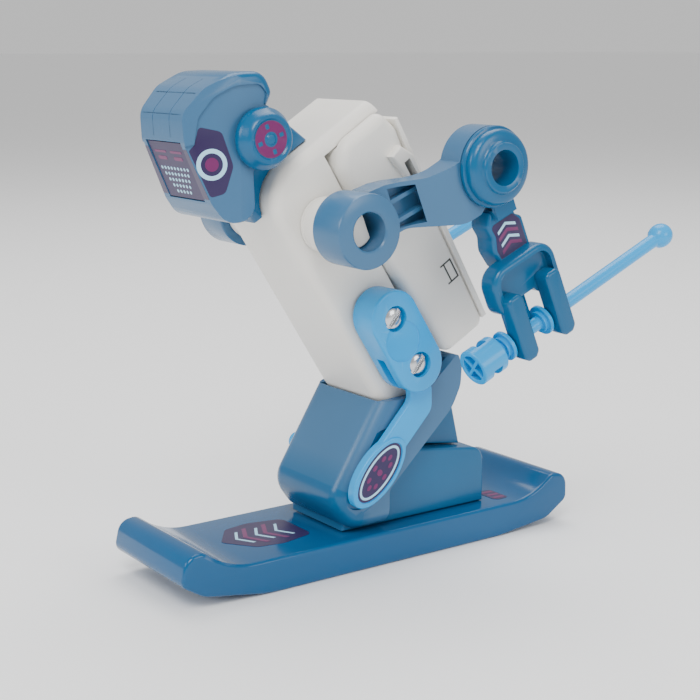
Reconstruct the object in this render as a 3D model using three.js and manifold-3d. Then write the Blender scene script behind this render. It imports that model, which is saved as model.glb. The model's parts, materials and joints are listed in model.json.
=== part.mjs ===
// Skiing robot kit: a motorised robot standing on one wide ski with a pole in each hand.
// Millimetres, +Z up. The origin is on the ground under the middle of the ski.
// The robot faces -Y and its left side is +X.
import * as THREE from 'three';
import Module from 'manifold-3d';
import { mergeVertices } from 'three/addons/utils/BufferGeometryUtils.js';

const wasm = await Module();
wasm.setup();

const RAD = Math.PI / 180;
const GAP = 0.3; // clearance between separate pieces
const FINE = 11; // half the number of sides of a large circle
const COARSE = 8; // half the number of sides of a small circle
const ARC_STEP = 26; // degrees per straight piece of a rounded corner
const SMALLEST_EDGE = 0.04;

// Colours of the mouldings and the metal pieces
const BLUE = 0x0c7fae;
const SKY = 0x3fb4e2;
const SHELL = 0xe6e4df;
const INDIGO = 0x2c2057;
const SWITCH_GREY = 0x2a2a2c;
const STEEL = 0xb9bcc0;
const BRASS = 0xc79a4b;
const GEAR_WHITE = 0xefeee8;
const CELL_GREEN = 0x3f8f5c;

// Ski
const SKI_HALF_WIDTH = 20.9;
const SKI_DECK_Z = 10.6;
const SKI_EDGE = 0.9;

// Foot block on the deck
const FOOT_HALF_WIDTH = 14;
const FOOT_FRONT_Y = -14;
const FOOT_REAR_Y = 41.6;
const FOOT_FRONT_TOP_Z = 35.6;
const FOOT_STEP_Y = -8.6;
const FOOT_STEP_Z = 14.4;
const FOOT_REAR_TOP_Z = 28.7;
const FOOT_WALL = 2;

// Leg block straddling the foot
const LEG_HALF_WIDTH = 19;
const LEG_FILLET = 6;

// Hip axis and lean of the body
const HIP = { y: 7.5, z: 56.5 };
const BODY_LEAN = 32.07;
const HIP_PIN_R = 1.5;
const HIP_ARC_R = 10.9;

// Front shell of the body, in the body frame: y is rearward, z runs up along the body
const BODY_HALF_WIDTH = 15;
const BODY_TOP = 77;
const BODY_FILLET = 2.8;
const BODY_WALL = 1.8;
const BODY_SPLIT_Y = 12;

// Battery box behind the front shell
const BOX_HALF_WIDTH = 19;
const BOX_EDGE = 3;
const CELL_R = 5.25;
const CELL_LENGTH = 44.5;
const CELL_SPACING = 12;
const CELL_Y = 27;
const CELL_BOTTOM = 8;
const SWITCH_Y = 32;

// Drive train, in the body frame
const CRANK_AXIS = { y: 1.8, z: 23.3 };
const CRANK_THROW = 17.4;
const CRANK_R = 8.5;
const CRANK_X0 = 15.7;
const CRANK_X1 = 26;
const AXLE_R = 3;
const GEAR_MODULE = 0.8;
const CRANK_TEETH = 22;
const PINION_TEETH = 10;
const GEAR_X0 = 8.8;
const GEAR_X1 = 11.8;

// Link between the crank and the leg
const ANKLE = { y: -6.6, z: 30.4 };
const LINK_X0 = 19.7;
const LINK_X1 = 22.5;
const OVAL_X1 = 23.1;
const OVAL_HALF_LENGTH = 12.5;
const OVAL_HALF_WIDTH = 6.5;
const OVAL_TILT = 46.7;
const LINK_EYE_CLEARANCE = 0.7;
const ANKLE_PIN_R = 1.5;
const SCREW_R = 1.5;
const SCREW_HEAD_R = 3.3;

// Arms
const SHOULDER = { y: 1.3, z: 56.65 };
const SHOULDER_BOSS_R = 8;
const SHOULDER_D_R = 5.1;
const HUB_X0 = 25;
const HUB_X1 = 38;
const HUB_R = 10.6;
const HUB_BORE_R = 5.45;
const ARM_TILT = 21.96;
const ARM_LENGTH = 43.45;
const DRUM_R = 11.75;
const DRUM_X0 = 32.2;
const DRUM_X1 = 41.3;
const CAP_X1 = 47.5;
const ELBOW_BORE_R = 5;
const SLEEVE_R = 6.4;
const FOREARM_TILT = 23.5;

// Hand and pole, in the forearm frame
const POLE_X = 42;
const POLE_Z = -50.94;
const POLE_START_Y = -14.64;
const ROD_R = 2.15;

// Head
const EAR = { y: -42.4, z: 130.3 };
const HEAD_HALF_WIDTH = 15.6;

// ---------------------------------------------------------------- solids

// Turns a closed three geometry into a manifold solid with its faces outward.
function solid(geometry) {
  const plain = geometry.index ? geometry.toNonIndexed() : geometry.clone();
  plain.deleteAttribute('normal');
  plain.deleteAttribute('uv');
  const merged = mergeVertices(plain, 1e-4);
  const vertProperties = new Float32Array(merged.attributes.position.array);
  const triVerts = new Uint32Array(merged.index.array);
  const made = new wasm.Manifold(new wasm.Mesh({ numProp: 3, vertProperties, triVerts }));
  if (made.volume() > 0) {
    return made;
  }
  for (let i = 0; i < triVerts.length; i += 3) {
    [triVerts[i + 1], triVerts[i + 2]] = [triVerts[i + 2], triVerts[i + 1]];
  }
  return new wasm.Manifold(new wasm.Mesh({ numProp: 3, vertProperties, triVerts }));
}

// Points along the arc that rounds one corner, or the corner itself when its radius is zero.
function cornerPoints(last, corner, next) {
  const here = new THREE.Vector2(corner[0], corner[1]);
  const radius = corner[2] ?? 0;
  if (radius === 0) {
    return [here];
  }
  const back = new THREE.Vector2(last[0], last[1]).sub(here).normalize();
  const ahead = new THREE.Vector2(next[0], next[1]).sub(here).normalize();
  const half = Math.acos(back.dot(ahead)) / 2;
  const middle = back.clone().add(ahead).normalize();
  const centre = here.clone().addScaledVector(middle, radius / Math.sin(half));
  const start = here.clone().addScaledVector(back, radius / Math.tan(half)).sub(centre);
  const turn = (Math.PI - 2 * half) * (back.cross(ahead) > 0 ? -1 : 1);
  const steps = Math.max(1, Math.round(Math.abs(turn) / (ARC_STEP * RAD)));
  const points = [];
  for (let i = 0; i <= steps; i += 1) {
    points.push(start.clone().rotateAround(new THREE.Vector2(), (turn * i) / steps).add(centre));
  }
  return points;
}

// Closed outline through the given corners [u, v, radius], each corner rounded by an arc.
function outline(corners) {
  const count = corners.length;
  const points = corners.flatMap((corner, i) => (
    cornerPoints(corners[(i + count - 1) % count], corner, corners[(i + 1) % count])
  ));
  const apart = points.filter((point, i) => (
    point.distanceTo(points[(i + 1) % points.length]) > SMALLEST_EDGE
  ));
  return new THREE.Shape(apart);
}

function disc(y, z, radius) {
  const shape = new THREE.Shape();
  shape.absarc(y, z, radius, 0, 2 * Math.PI, false);
  return shape;
}

// Extrudes a Y-Z outline along X from x0 to x1, with rounded rims of the given size.
function prism(shape, x0, x1, rim = 0, curveSegments = 2, rimSteps = rim < 1 ? 1 : 2) {
  const geometry = new THREE.ExtrudeGeometry(shape, {
    depth: x1 - x0 - 2 * rim,
    bevelEnabled: rim > 0,
    bevelThickness: rim,
    bevelSize: rim,
    bevelOffset: -rim,
    bevelSegments: rimSteps,
    curveSegments,
  });
  geometry.translate(0, 0, x0 + rim);
  const toX = new THREE.Matrix4().makeBasis(
    new THREE.Vector3(0, 1, 0),
    new THREE.Vector3(0, 0, 1),
    new THREE.Vector3(1, 0, 0),
  );
  return solid(geometry.applyMatrix4(toX));
}

// Extrudes an X-Y outline up along Z from z0 to z1.
function column(shape, z0, z1, curveSegments = 2) {
  const geometry = new THREE.ExtrudeGeometry(shape, { depth: z1 - z0, bevelEnabled: false, curveSegments });
  return solid(geometry.translate(0, 0, z0));
}

// Turns a profile of [radius, x] points about the X axis.
function turned(profile, half = FINE) {
  const points = profile.map(([radius, x]) => new THREE.Vector2(radius, x));
  const geometry = new THREE.LatheGeometry(points, 2 * half);
  const toX = new THREE.Matrix4().makeBasis(
    new THREE.Vector3(0, 0, 1),
    new THREE.Vector3(1, 0, 0),
    new THREE.Vector3(0, 1, 0),
  );
  return solid(geometry.applyMatrix4(toX));
}

function rod(radius, x0, x1, y = 0, z = 0, half = COARSE) {
  return turned([[0, x0], [radius, x0], [radius, x1], [0, x1]], half).translate(0, y, z);
}

function block(x0, x1, y0, y1, z0, z1) {
  const geometry = new THREE.BoxGeometry(x1 - x0, y1 - y0, z1 - z0);
  return solid(geometry.translate((x0 + x1) / 2, (y0 + y1) / 2, (z0 + z1) / 2));
}

// Mirrors a solid to the robot's right side.
function mirrored(shape) {
  return shape.mirror([1, 0, 0]);
}

function piece(name, shape, colour, roughness = 0.28, metalness = 0) {
  const made = shape.getMesh();
  const geometry = new THREE.BufferGeometry();
  geometry.setAttribute('position', new THREE.BufferAttribute(made.vertProperties, made.numProp));
  geometry.setIndex(new THREE.BufferAttribute(made.triVerts, 1));
  geometry.computeVertexNormals();
  const material = new THREE.MeshStandardMaterial({ color: colour, roughness, metalness });
  const mesh = new THREE.Mesh(geometry, material);
  mesh.name = name;
  return mesh;
}

function frameAt(y, z, tilt = 0) {
  const group = new THREE.Group();
  group.position.set(0, y, z);
  group.rotation.x = tilt * RAD;
  return group;
}

// ---------------------------------------------------------------- ski and leg

function skiBoard() {
  const side = outline([
    [-45, 0, 40],
    [-66, 3.6, 8],
    [-73.4, 8.2, 3],
    [-71.5, 16.4, 4.5],
    [-65.8, 16.9, 3.5],
    [-58, 10.4, 24],
    [0, SKI_DECK_Z - 0.1],
    [57, 10.6, 24],
    [66, 17.2, 3.5],
    [72.4, 16.2, 4.5],
    [72.6, 7.6, 3],
    [64, 2.2, 8],
    [44, 0, 40],
  ].reverse());
  return prism(side, -SKI_HALF_WIDTH, SKI_HALF_WIDTH, SKI_EDGE, 3);
}

function footOutline(grow) {
  const base = SKI_DECK_Z + GAP - grow;
  return outline([
    [FOOT_FRONT_Y - grow, base],
    [FOOT_REAR_Y + grow, base],
    [FOOT_REAR_Y + grow, FOOT_REAR_TOP_Z + grow, 5],
    [FOOT_STEP_Y - grow, FOOT_FRONT_TOP_Z + grow, 3],
    [FOOT_STEP_Y - grow, 20 + grow, 6],
    [FOOT_FRONT_Y - grow, FOOT_STEP_Z + grow],
  ]);
}

function footBlock() {
  const outer = prism(footOutline(0), -FOOT_HALF_WIDTH, FOOT_HALF_WIDTH, 0.8, 3);
  const inner = FOOT_HALF_WIDTH - FOOT_WALL;
  const pocket = prism(
    outline([
      [FOOT_STEP_Y + FOOT_WALL, 0],
      [FOOT_REAR_Y - FOOT_WALL, 0],
      [FOOT_REAR_Y - FOOT_WALL, FOOT_REAR_TOP_Z - FOOT_WALL, 3],
      [FOOT_STEP_Y + FOOT_WALL, FOOT_FRONT_TOP_Z - FOOT_WALL],
    ]),
    -inner,
    inner,
  );
  return outer.subtract(pocket);
}

function legShell() {
  const rounded = prism(
    outline([
      [-13.4, 11.5, 7.4],
      [50, 11.5, 8],
      [50, 90, 8],
      [22, 90, 8],
      [-20.6, 21.6, 8.2],
    ]),
    -LEG_HALF_WIDTH,
    LEG_HALF_WIDTH,
    LEG_FILLET,
    2,
    3,
  );
  const kept = prism(
    outline([
      [-30, 0],
      [0, 0],
      [0, 22.9, 3],
      [24.1, 45.3, 14],
      [27.4, 52, 8],
      [27.8, 58, 5],
      [26.2, 62.4, 0.8],
      [13.4, 51.2, 5],
      [-2, 50.3],
      [-30, 50.3],
    ]),
    -LEG_HALF_WIDTH - 1,
    LEG_HALF_WIDTH + 1,
  );
  const cradleHalf = BODY_HALF_WIDTH + 0.5;
  const cradle = prism(disc(HIP.y, HIP.z, HIP_ARC_R + 0.5), -cradleHalf, cradleHalf, 0, FINE);
  const rearCradle = prism(disc(HIP.y, HIP.z, 17.2), -cradleHalf, cradleHalf, 0, FINE)
    .intersect(block(-cradleHalf, cradleHalf, HIP.y + 3, 40, 30, 80));
  const footRoom = prism(footOutline(GAP), -FOOT_HALF_WIDTH - GAP, FOOT_HALF_WIDTH + GAP, 0, 3);
  const lug = prism(
    outline([[3.5, 43], [12, 43], [HIP.y + 4.6, HIP.z + 4.6, 4.5], [HIP.y - 4.6, HIP.z + 4.6, 4.5]]),
    -4.5,
    4.5,
  );
  const anklePost = rod(4.2, 14.4, LEG_HALF_WIDTH, ANKLE.y, ANKLE.z);
  const ankleHole = rod(1.8, 15.2, LEG_HALF_WIDTH + 1, ANKLE.y, ANKLE.z);
  return rounded
    .intersect(kept)
    .subtract(cradle)
    .subtract(rearCradle)
    .subtract(footRoom)
    .add(lug)
    .add(anklePost)
    .add(mirrored(anklePost))
    .subtract(ankleHole)
    .subtract(mirrored(ankleHole))
    .subtract(rod(HIP_PIN_R + GAP, -6, 6, HIP.y, HIP.z));
}

function rearStrut() {
  const side = outline([
    [13.2, 33.3],
    [34.6, 30.2],
    [30.9, 45.6, 3],
    [29.6, 50.6],
    [28.1, 50.6],
    [24.9, 45.2, 12],
  ]);
  return prism(side, -10, 10, 0.4);
}

function anklePin() {
  return rod(ANKLE_PIN_R, 15.4, 21.4);
}

// ---------------------------------------------------------------- body

function frontShell() {
  const outer = prism(
    outline([
      [-HIP_ARC_R, -HIP_ARC_R, HIP_ARC_R],
      [44, -HIP_ARC_R, 9],
      [44, BODY_TOP, 9],
      [-HIP_ARC_R, BODY_TOP, 12],
    ]),
    -BODY_HALF_WIDTH,
    BODY_HALF_WIDTH,
    BODY_FILLET,
    3,
    3,
  );
  const kept = prism(
    outline([
      [-20, -20],
      [BODY_SPLIT_Y, -20],
      [BODY_SPLIT_Y, 72.7],
      [34.6, 73.1],
      [33.6, 78],
      [-20, 78],
    ]),
    -BODY_HALF_WIDTH - 1,
    BODY_HALF_WIDTH + 1,
  );
  const low = -HIP_ARC_R + BODY_WALL;
  const innerHalf = BODY_HALF_WIDTH - BODY_WALL;
  const cavity = prism(
    outline([
      [low, low, -low],
      [30, low, 7],
      [30, 70.4, 7],
      [low, 70.4, 10],
    ]),
    -innerHalf,
    innerHalf,
    BODY_FILLET - BODY_WALL,
  ).intersect(block(-innerHalf, innerHalf, -20, 20, -20, 71));
  const hipBoss = rod(4, 9, innerHalf + 0.5);
  const hipHole = rod(HIP_PIN_R + GAP, 8, 13);
  const axleHole = rod(AXLE_R + GAP, -20, 20, CRANK_AXIS.y, CRANK_AXIS.z);
  const shaftHole = rod(AXLE_R + GAP, -20, 20, SHOULDER.y, SHOULDER.z);
  return outer
    .intersect(kept)
    .subtract(cavity)
    .add(hipBoss)
    .add(mirrored(hipBoss))
    .subtract(hipHole)
    .subtract(mirrored(hipHole))
    .subtract(axleHole)
    .subtract(shaftHole)
    .subtract(block(-5.2, 5.2, -12, 13, -12, 5.5).subtract(block(-6, 6, -20, -8.4, -3, 20)));
}

function batteryBox() {
  const outer = prism(
    outline([
      [15.8, -3.2, 3.4],
      [33, -4, 3.2],
      [35.1, 60, 12],
      [35.9, 66.5, 3.2],
      [33.4, 73.8, 3.2],
      [12.5, 73.6, 8],
      [BODY_SPLIT_Y + GAP + 0.1, 31.5, 20],
    ]),
    -BOX_HALF_WIDTH,
    BOX_HALF_WIDTH,
    BOX_EDGE,
    3,
    2,
  );
  const switchHump = prism(
    outline([[27.8, 62], [31.4, 45.4], [34.6, 45.4], [35.2, 58], [32.4, 63]]),
    BOX_HALF_WIDTH - 2,
    BOX_HALF_WIDTH + 2.4,
    1,
  );
  const shellRoom = block(-15.4, 15.4, 10, 40, 72.3, 80);
  const doorRoom = prism(
    outline([[32.4, -6], [45, -6], [45, 70], [36, 70], [35, 60]]),
    -30,
    30,
  );
  const cellRoom = block(-13.2, 13.2, CELL_Y - 6, 45, CELL_BOTTOM - 2.4, CELL_BOTTOM + CELL_LENGTH + 2.4);
  const gearRoom = block(-13.2, 13.2, 0, 18.6, 2, 66);
  const switchRoom = block(12, 17.6, 28.6, 33.4, 46, 60);
  const switchSlot = block(17, 24, SWITCH_Y - 1.2, SWITCH_Y + 1.2, 47.4, 58);
  return outer
    .add(switchHump)
    .subtract(shellRoom)
    .subtract(doorRoom)
    .subtract(cellRoom)
    .subtract(gearRoom)
    .subtract(switchRoom)
    .subtract(switchSlot);
}

// Slider held behind the slot; it moves up along the body.
function switchKnob() {
  const base = block(14.4, 17.3, SWITCH_Y - 2.6, SWITCH_Y + 1.1, 47, 53);
  return base.add(block(17.2, 20.9, SWITCH_Y - 0.9, SWITCH_Y + 0.9, 48.4, 51.6));
}

function batteryDoor() {
  const side = outline([
    [32.9, -2],
    [34.7, -2],
    [37.2, 60.2, 4],
    [37.5, 69.2],
    [36.2, 69.2],
    [35.4, 60.4, 2],
  ]);
  const plate = prism(side, -18.4, 18.4, 0.3);
  const ribs = [-1, 1].map((s) => block(s * 9 - 1, s * 9 + 1, 33, 34.6, 8, 16));
  return ribs.reduce((all, rib) => all.add(rib), plate);
}

function motorCan() {
  const can = prism(
    outline([[-7.5, -7.5, 5], [7.5, -7.5, 5], [7.5, 7.5, 5], [-7.5, 7.5, 5]]),
    -12.4,
    6,
    0.8,
    2,
  );
  const nose = rod(3, 5.5, 7.8);
  return can.add(nose).subtract(rod(1.3, 4, 9));
}

// Spur gear about the X axis with straight-flanked teeth.
function gear(teeth, x0, x1, boreR, phase) {
  const pitchR = (GEAR_MODULE * teeth) / 2;
  const rootR = pitchR - GEAR_MODULE * 1.25;
  const tipR = pitchR + GEAR_MODULE * 0.8;
  const shape = new THREE.Shape();
  for (let i = 0; i < teeth; i += 1) {
    const middle = ((i + phase) * 2 * Math.PI) / teeth;
    const step = (2 * Math.PI) / teeth;
    const corners = [[rootR, -0.3], [tipR, -0.12], [tipR, 0.12], [rootR, 0.3]];
    corners.forEach(([radius, share], k) => {
      const angle = middle + share * step;
      const y = radius * Math.cos(angle);
      const z = radius * Math.sin(angle);
      if (i === 0 && k === 0) {
        shape.moveTo(y, z);
      } else {
        shape.lineTo(y, z);
      }
    });
  }
  return prism(shape, x0, x1).subtract(rod(boreR, x0 - 1, x1 + 1));
}

function crankAxle() {
  const screwHole = rod(SCREW_R + GAP, 9.5, 16);
  return rod(AXLE_R, -15.3, 15.3, 0, 0, FINE).subtract(screwHole).subtract(mirrored(screwHole));
}

function crankCapsule(radius, x1) {
  const low = -CRANK_THROW;
  const side = outline([
    [-radius, low - radius, radius],
    [radius, low - radius, radius],
    [radius, radius, radius],
    [-radius, radius, radius],
  ]);
  const slot = prism(
    outline([[-20, low - 20], [20, low - 20], [20, low + 7.5], [-20, low + 7.5]]),
    LINK_X0 - 0.35,
    LINK_X1 + 0.35,
  );
  const recess = (z) => rod(SCREW_HEAD_R + 0.6, x1 - 2.2, x1 + 1, 0, z, FINE);
  const hole = (z) => rod(SCREW_R + GAP, CRANK_X0 - 1, x1 + 1, 0, z);
  const pinHole = rod(SCREW_R + GAP, CRANK_X0 + 1.4, x1 + 1, 0, low);
  return prism(side, CRANK_X0, x1, 0.6, 4)
    .subtract(slot)
    .subtract(recess(0))
    .subtract(recess(low))
    .subtract(hole(0))
    .subtract(pinHole);
}

// Pan-head screw with a straight slot across its head.
function slottedScrew(length, x1) {
  const seat = x1 - 2.2 + GAP / 2;
  const head = [
    [0, seat - length],
    [SCREW_R, seat - length],
    [SCREW_R, seat],
    [SCREW_HEAD_R, seat],
    [SCREW_HEAD_R, seat + 0.7],
    [SCREW_HEAD_R * 0.6, seat + 1.5],
    [0, seat + 1.7],
  ];
  const slot = block(seat + 0.9, seat + 3, -5, 5, -0.6, 0.6).rotate([35, 0, 0]);
  return turned(head, FINE).subtract(slot);
}

function ovalOutline(scale) {
  const shape = new THREE.Shape();
  const a = OVAL_HALF_LENGTH * scale;
  const b = OVAL_HALF_WIDTH * scale;
  shape.absellipse(0, 0, a, b, 0, 2 * Math.PI, false, OVAL_TILT * RAD);
  return shape;
}

function linkSolid(side, eyeY, eyeZ) {
  const bar = prism(side, LINK_X0, LINK_X1, 0.4);
  const eye = rod(5.4, LINK_X0, LINK_X1, eyeY, eyeZ, FINE);
  return bar.add(eye);
}

function linkHoles(link, eyeY, eyeZ) {
  return link
    .subtract(rod(SCREW_R + LINK_EYE_CLEARANCE, LINK_X0 - 1, LINK_X1 + 1, eyeY, eyeZ))
    .subtract(rod(ANKLE_PIN_R + GAP, LINK_X0 - 1, 21.8));
}

// Left link in a frame at the ankle pin; its eye sits on the crank pin and its foot is an oval plate.
function ovalLink(eyeY, eyeZ) {
  const side = outline([
    [eyeY - 2.6, eyeZ + 1],
    [eyeY - 0.4, eyeZ - 11.6, 4],
    [0.4, 8],
    [9.6, 5.6],
    [eyeY + 7.6, eyeZ - 15.4, 5],
    [eyeY + 7.4, eyeZ - 8.5, 4],
    [eyeY + 3.4, eyeZ + 1],
  ]);
  const plate = prism(ovalOutline(1), LINK_X0, OVAL_X1, 0.5, FINE, 1);
  const dish = prism(ovalOutline(0.86), OVAL_X1 - 0.4, OVAL_X1 + 1, 0, FINE);
  return linkHoles(linkSolid(side, eyeY, eyeZ).add(plate).subtract(dish), eyeY, eyeZ);
}

// Right link, slimmer and without the plate.
function plainLink(eyeY, eyeZ) {
  const side = outline([
    [eyeY - 1.4, eyeZ],
    [eyeY + 1, eyeZ - 12, 4],
    [-0.6, 2.6],
    [2.4, -1.2],
    [eyeY + 6.2, eyeZ - 15.6, 5],
    [eyeY + 6, eyeZ - 8.5, 4],
    [eyeY + 2.8, eyeZ],
  ]);
  const foot = rod(2.9, LINK_X0, LINK_X1);
  return linkHoles(linkSolid(side, eyeY, eyeZ).add(foot), eyeY, eyeZ);
}

// ---------------------------------------------------------------- arms

function shoulderShaft() {
  const end = [
    [0, 0],
    [AXLE_R, 0],
    [AXLE_R, BODY_HALF_WIDTH + GAP],
    [SHOULDER_BOSS_R, BODY_HALF_WIDTH + GAP],
    [SHOULDER_BOSS_R, HUB_X0 - GAP],
    [SHOULDER_D_R, HUB_X0 - GAP],
    [SHOULDER_D_R, HUB_X1 - 6],
    [0, HUB_X1 - 6],
  ];
  const half = turned(end, FINE).subtract(block(HUB_X0 - GAP, 40, 3, 9, -9, 9));
  return half.add(mirrored(half));
}

function upperArm() {
  const hub = turned([
    [HUB_BORE_R, HUB_X0],
    [HUB_R, HUB_X0],
    [HUB_R, HUB_X1 - 0.8],
    [HUB_R - 0.8, HUB_X1],
    [HUB_BORE_R, HUB_X1],
    [HUB_BORE_R, HUB_X0],
  ]);
  const drum = turned([
    [SLEEVE_R + GAP, DRUM_X0],
    [DRUM_R, DRUM_X0],
    [DRUM_R, DRUM_X1],
    [SLEEVE_R + GAP, DRUM_X1],
    [SLEEVE_R + GAP, DRUM_X0],
  ]).translate(0, ARM_LENGTH, 0);
  const side = prism(
    outline([
      [6, -6.5],
      [14, -6.2, 10],
      [29, -11.6, 8],
      [ARM_LENGTH - 8, -11.4],
      [ARM_LENGTH - 4, -9],
      [ARM_LENGTH - 4, 9],
      [33.4, 6, 3],
      [24, 5.2, 12],
      [11.4, 8.4, 6],
      [4, 9],
    ]),
    20,
    50,
  );
  const plan = column(
    outline([
      [26, 4],
      [34, 4],
      [34, 16, 6],
      [DRUM_X1 - 0.2, 31, 8],
      [DRUM_X1 - 0.2, ARM_LENGTH],
      [DRUM_X0, ARM_LENGTH],
      [DRUM_X0, 28, 4],
      [26, 16, 4],
    ]),
    -15,
    15,
  );
  const channel = prism(
    outline([[12, -5.2], [23.5, -7.6, 1], [22.5, 4.2, 1], [12, 7]]),
    29.4,
    36,
  );
  const ribs = [2.6, -3.4].map((z) => block(28, 33.2, 10.4, 24, z - 0.6, z + 0.6));
  const arm = side.intersect(plan).subtract(channel);
  return ribs
    .reduce((all, rib) => all.add(rib), arm)
    .subtract(rod(HUB_R - 0.6, 20, 50, 0, 0, FINE))
    .subtract(rod(DRUM_R - 1, 20, 50, ARM_LENGTH, 0, FINE))
    .add(hub)
    .add(drum);
}

function forearm() {
  const cap = turned([
    [ELBOW_BORE_R, DRUM_X0 + 0.6],
    [SLEEVE_R, DRUM_X0 + 0.6],
    [SLEEVE_R, DRUM_X1 + GAP],
    [DRUM_R, DRUM_X1 + GAP],
    [DRUM_R, DRUM_X1 + 1.7],
    [DRUM_R - 0.9, DRUM_X1 + 2],
    [DRUM_R - 0.9, DRUM_X1 + 2.7],
    [DRUM_R - 1.5, CAP_X1 - 2],
    [DRUM_R - 2.6, CAP_X1 - 0.7],
    [7.4, CAP_X1],
    [ELBOW_BORE_R + 0.4, CAP_X1],
    [ELBOW_BORE_R, CAP_X1 - 0.5],
    [ELBOW_BORE_R, DRUM_X0 + 0.6],
  ]);
  const blade = prism(
    outline([
      [-5.4, -12.4],
      [-7.9, -16, 3],
      [-7, -20, 3],
      [-8.2, -24, 4],
      [-6.4, -31, 2],
      [4.6, -31],
      [5.6, -27],
      [5.6, -18.5, 1.5],
      [3.6, -17, 1],
      [3.2, -12.4],
    ]),
    33.2,
    41,
    0.8,
  );
  const neck = block(38.5, DRUM_X1 + 1.6, -4.6, 3, -15, -12.2)
    .add(block(DRUM_X1 + GAP, DRUM_X1 + 1.6, -4.6, 3, -12.6, -9));
  const palm = prism(
    outline([
      [-15.4, -42, 4],
      [-8, -42, 2],
      [-6.6, -39.8],
      [0.2, -39.8],
      [1.6, -42, 2],
      [9.8, -42, 2],
      [9.8, -27.2, 6],
      [-15.4, -27.2, 6],
    ]),
    38.6,
    45.5,
    1.2,
    2,
  );
  const recess = prism(
    outline([
      [-13, -45, 0],
      [7.6, -45, 0],
      [7.6, -29.2, 4],
      [-13, -29.2, 4],
    ]),
    43,
    50,
  );
  const finger = (y0, y1) => prism(
    outline([
      [y0, -35.6, 1.4],
      [y0, -55.4, 1.4],
      [y0 + 1.4, -56.8, 1],
      [y1 - 1.4, -56.8, 1],
      [y1, -55.4, 1.4],
      [y1, -35.6, 1.4],
    ]),
    42.6,
    48.6,
    0.8,
  );
  const rodRoom = rodAlong(ROD_R + GAP, -40, 40);
  const backClip = prism(
    outline([[-6.3, -54.4, 1.5], [-2, -54.4, 1.5], [-2, -38], [-6.3, -38]]),
    36.4,
    41,
    0.5,
  );
  return palm
    .subtract(recess)
    .add(finger(-14.4, -8.4))
    .add(finger(1.3, 7.3))
    .add(backClip)
    .add(blade)
    .subtract(rodRoom)
    .add(neck)
    .add(cap);
}

// A straight rod parallel to the pole, in the forearm frame.
function rodAlong(radius, y0, y1) {
  return rod(radius, y0, y1).rotate([0, 0, 90]).translate(POLE_X, 0, POLE_Z);
}

// Ski pole with a slotted knob at its low end, flanges beside the fingers and a ball at its far end.
function skiPole() {
  const flange = 4.7;
  const step = 3.4;
  const profile = [
    [0, -12.4],
    [3.9, -12.4],
    [3.9, -14.2],
    [5.2, -14.2],
    [5.6, -13.8],
    [5.6, -5.2],
    [5.2, -4.8],
    [ROD_R, -4.8],
    [ROD_R, -2.6],
    [step, -2.6],
    [step, -1.5],
    [flange, -1.5],
    [flange, -0.2],
    [ROD_R, -0.2],
    [ROD_R, 6.7],
    [step, 6.7],
    [step, 7.9],
    [ROD_R, 7.9],
    [ROD_R, 13.1],
    [step, 13.1],
    [step, 14.2],
    [flange, 14.2],
    [flange, 15.5],
    [ROD_R, 15.5],
    [ROD_R, 22.5],
    [step, 22.5],
    [step, 23.8],
    [ROD_R, 23.8],
    [ROD_R, 66],
    [3.3, 67],
    [3.8, 69],
    [3.3, 71.2],
    [1.8, 72.7],
    [0, 73],
  ];
  const ribs = [45, 135].map((angle) => block(-14.1, -12, -4.3, 4.3, -0.45, 0.45).rotate([angle, 0, 0]));
  const windowCut = block(-10.8, -7.4, -8, 8, -3.6, 3.6).rotate([60, 0, 0]);
  const web = block(-11, -7, -0.6, 0.6, -3.8, 3.8).rotate([60, 0, 0]);
  return turned(profile, COARSE)
    .add(ribs[0])
    .add(ribs[1])
    .subtract(windowCut)
    .add(web)
    .rotate([0, 0, 90])
    .translate(POLE_X, POLE_START_Y, POLE_Z);
}

// ---------------------------------------------------------------- head

// Neck bracket in the body frame: a saddle on the body's top front edge with a bearing for the head.
function neckBracket(pivotY, pivotZ) {
  const side = outline([
    [13, BODY_TOP + GAP],
    [8.9, 87.6, 2],
    [pivotY + 9.5, pivotZ + 7, 6],
    [pivotY - 6.5, pivotZ + 6.5, 5.5],
    [pivotY - 7, 83, 5],
    [-14.6, 76.4, 4],
    [-14.2, 64.6, 1],
    [-11.25, 61.4],
    [-11.25, BODY_TOP + 0.3, 12],
  ]);
  const saddle = prism(side, -8.6, 8.6, 0.6, 3);
  const lowerEnd = block(-12, 12, -20, -8, 55, 67.5);
  return saddle.subtract(lowerEnd).subtract(rod(2.3, -12, 12, pivotY, pivotZ));
}

function headShell() {
  const side = prism(
    outline([
      [-52.6, 106.9, 6],
      [-43.6, 107.8, 5],
      [-44.2, 121.5, 2],
      [-40.2, 125, 2],
      [-40.2, 138.4, 1.5],
      [-38, 142.6, 3],
      [-40.9, 148.6, 5],
      [-50.5, 148.2, 11],
      [-58.9, 144.1, 8],
      [-65.1, 137.4, 5],
      [-64.6, 129.6, 2.4],
      [-56.9, 112.6, 3],
    ]),
    -HEAD_HALF_WIDTH,
    HEAD_HALF_WIDTH,
    1.6,
    3,
  );
  const plan = column(
    outline([
      [-HEAD_HALF_WIDTH - 1, -30],
      [-HEAD_HALF_WIDTH - 1, -44, 4],
      [-11.4, -68, 5],
      [11.4, -68, 5],
      [HEAD_HALF_WIDTH + 1, -44, 4],
      [HEAD_HALF_WIDTH + 1, -30],
    ]),
    100,
    155,
  );
  const hollow = prism(
    outline([
      [-30, 100],
      [-30, 143.6],
      [-44, 144.6, 5],
      [-57, 142, 5],
      [-58.6, 130, 3],
      [-52.8, 115, 3],
      [-47.4, 111.4],
      [-47, 100],
    ].reverse()),
    -10.6,
    10.6,
  );
  const pegHole = rod(2.3, -20, 20, EAR.y, EAR.z);
  return side.intersect(plan).subtract(hollow).subtract(pegHole).subtract(visorBlock(GAP));
}

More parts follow.
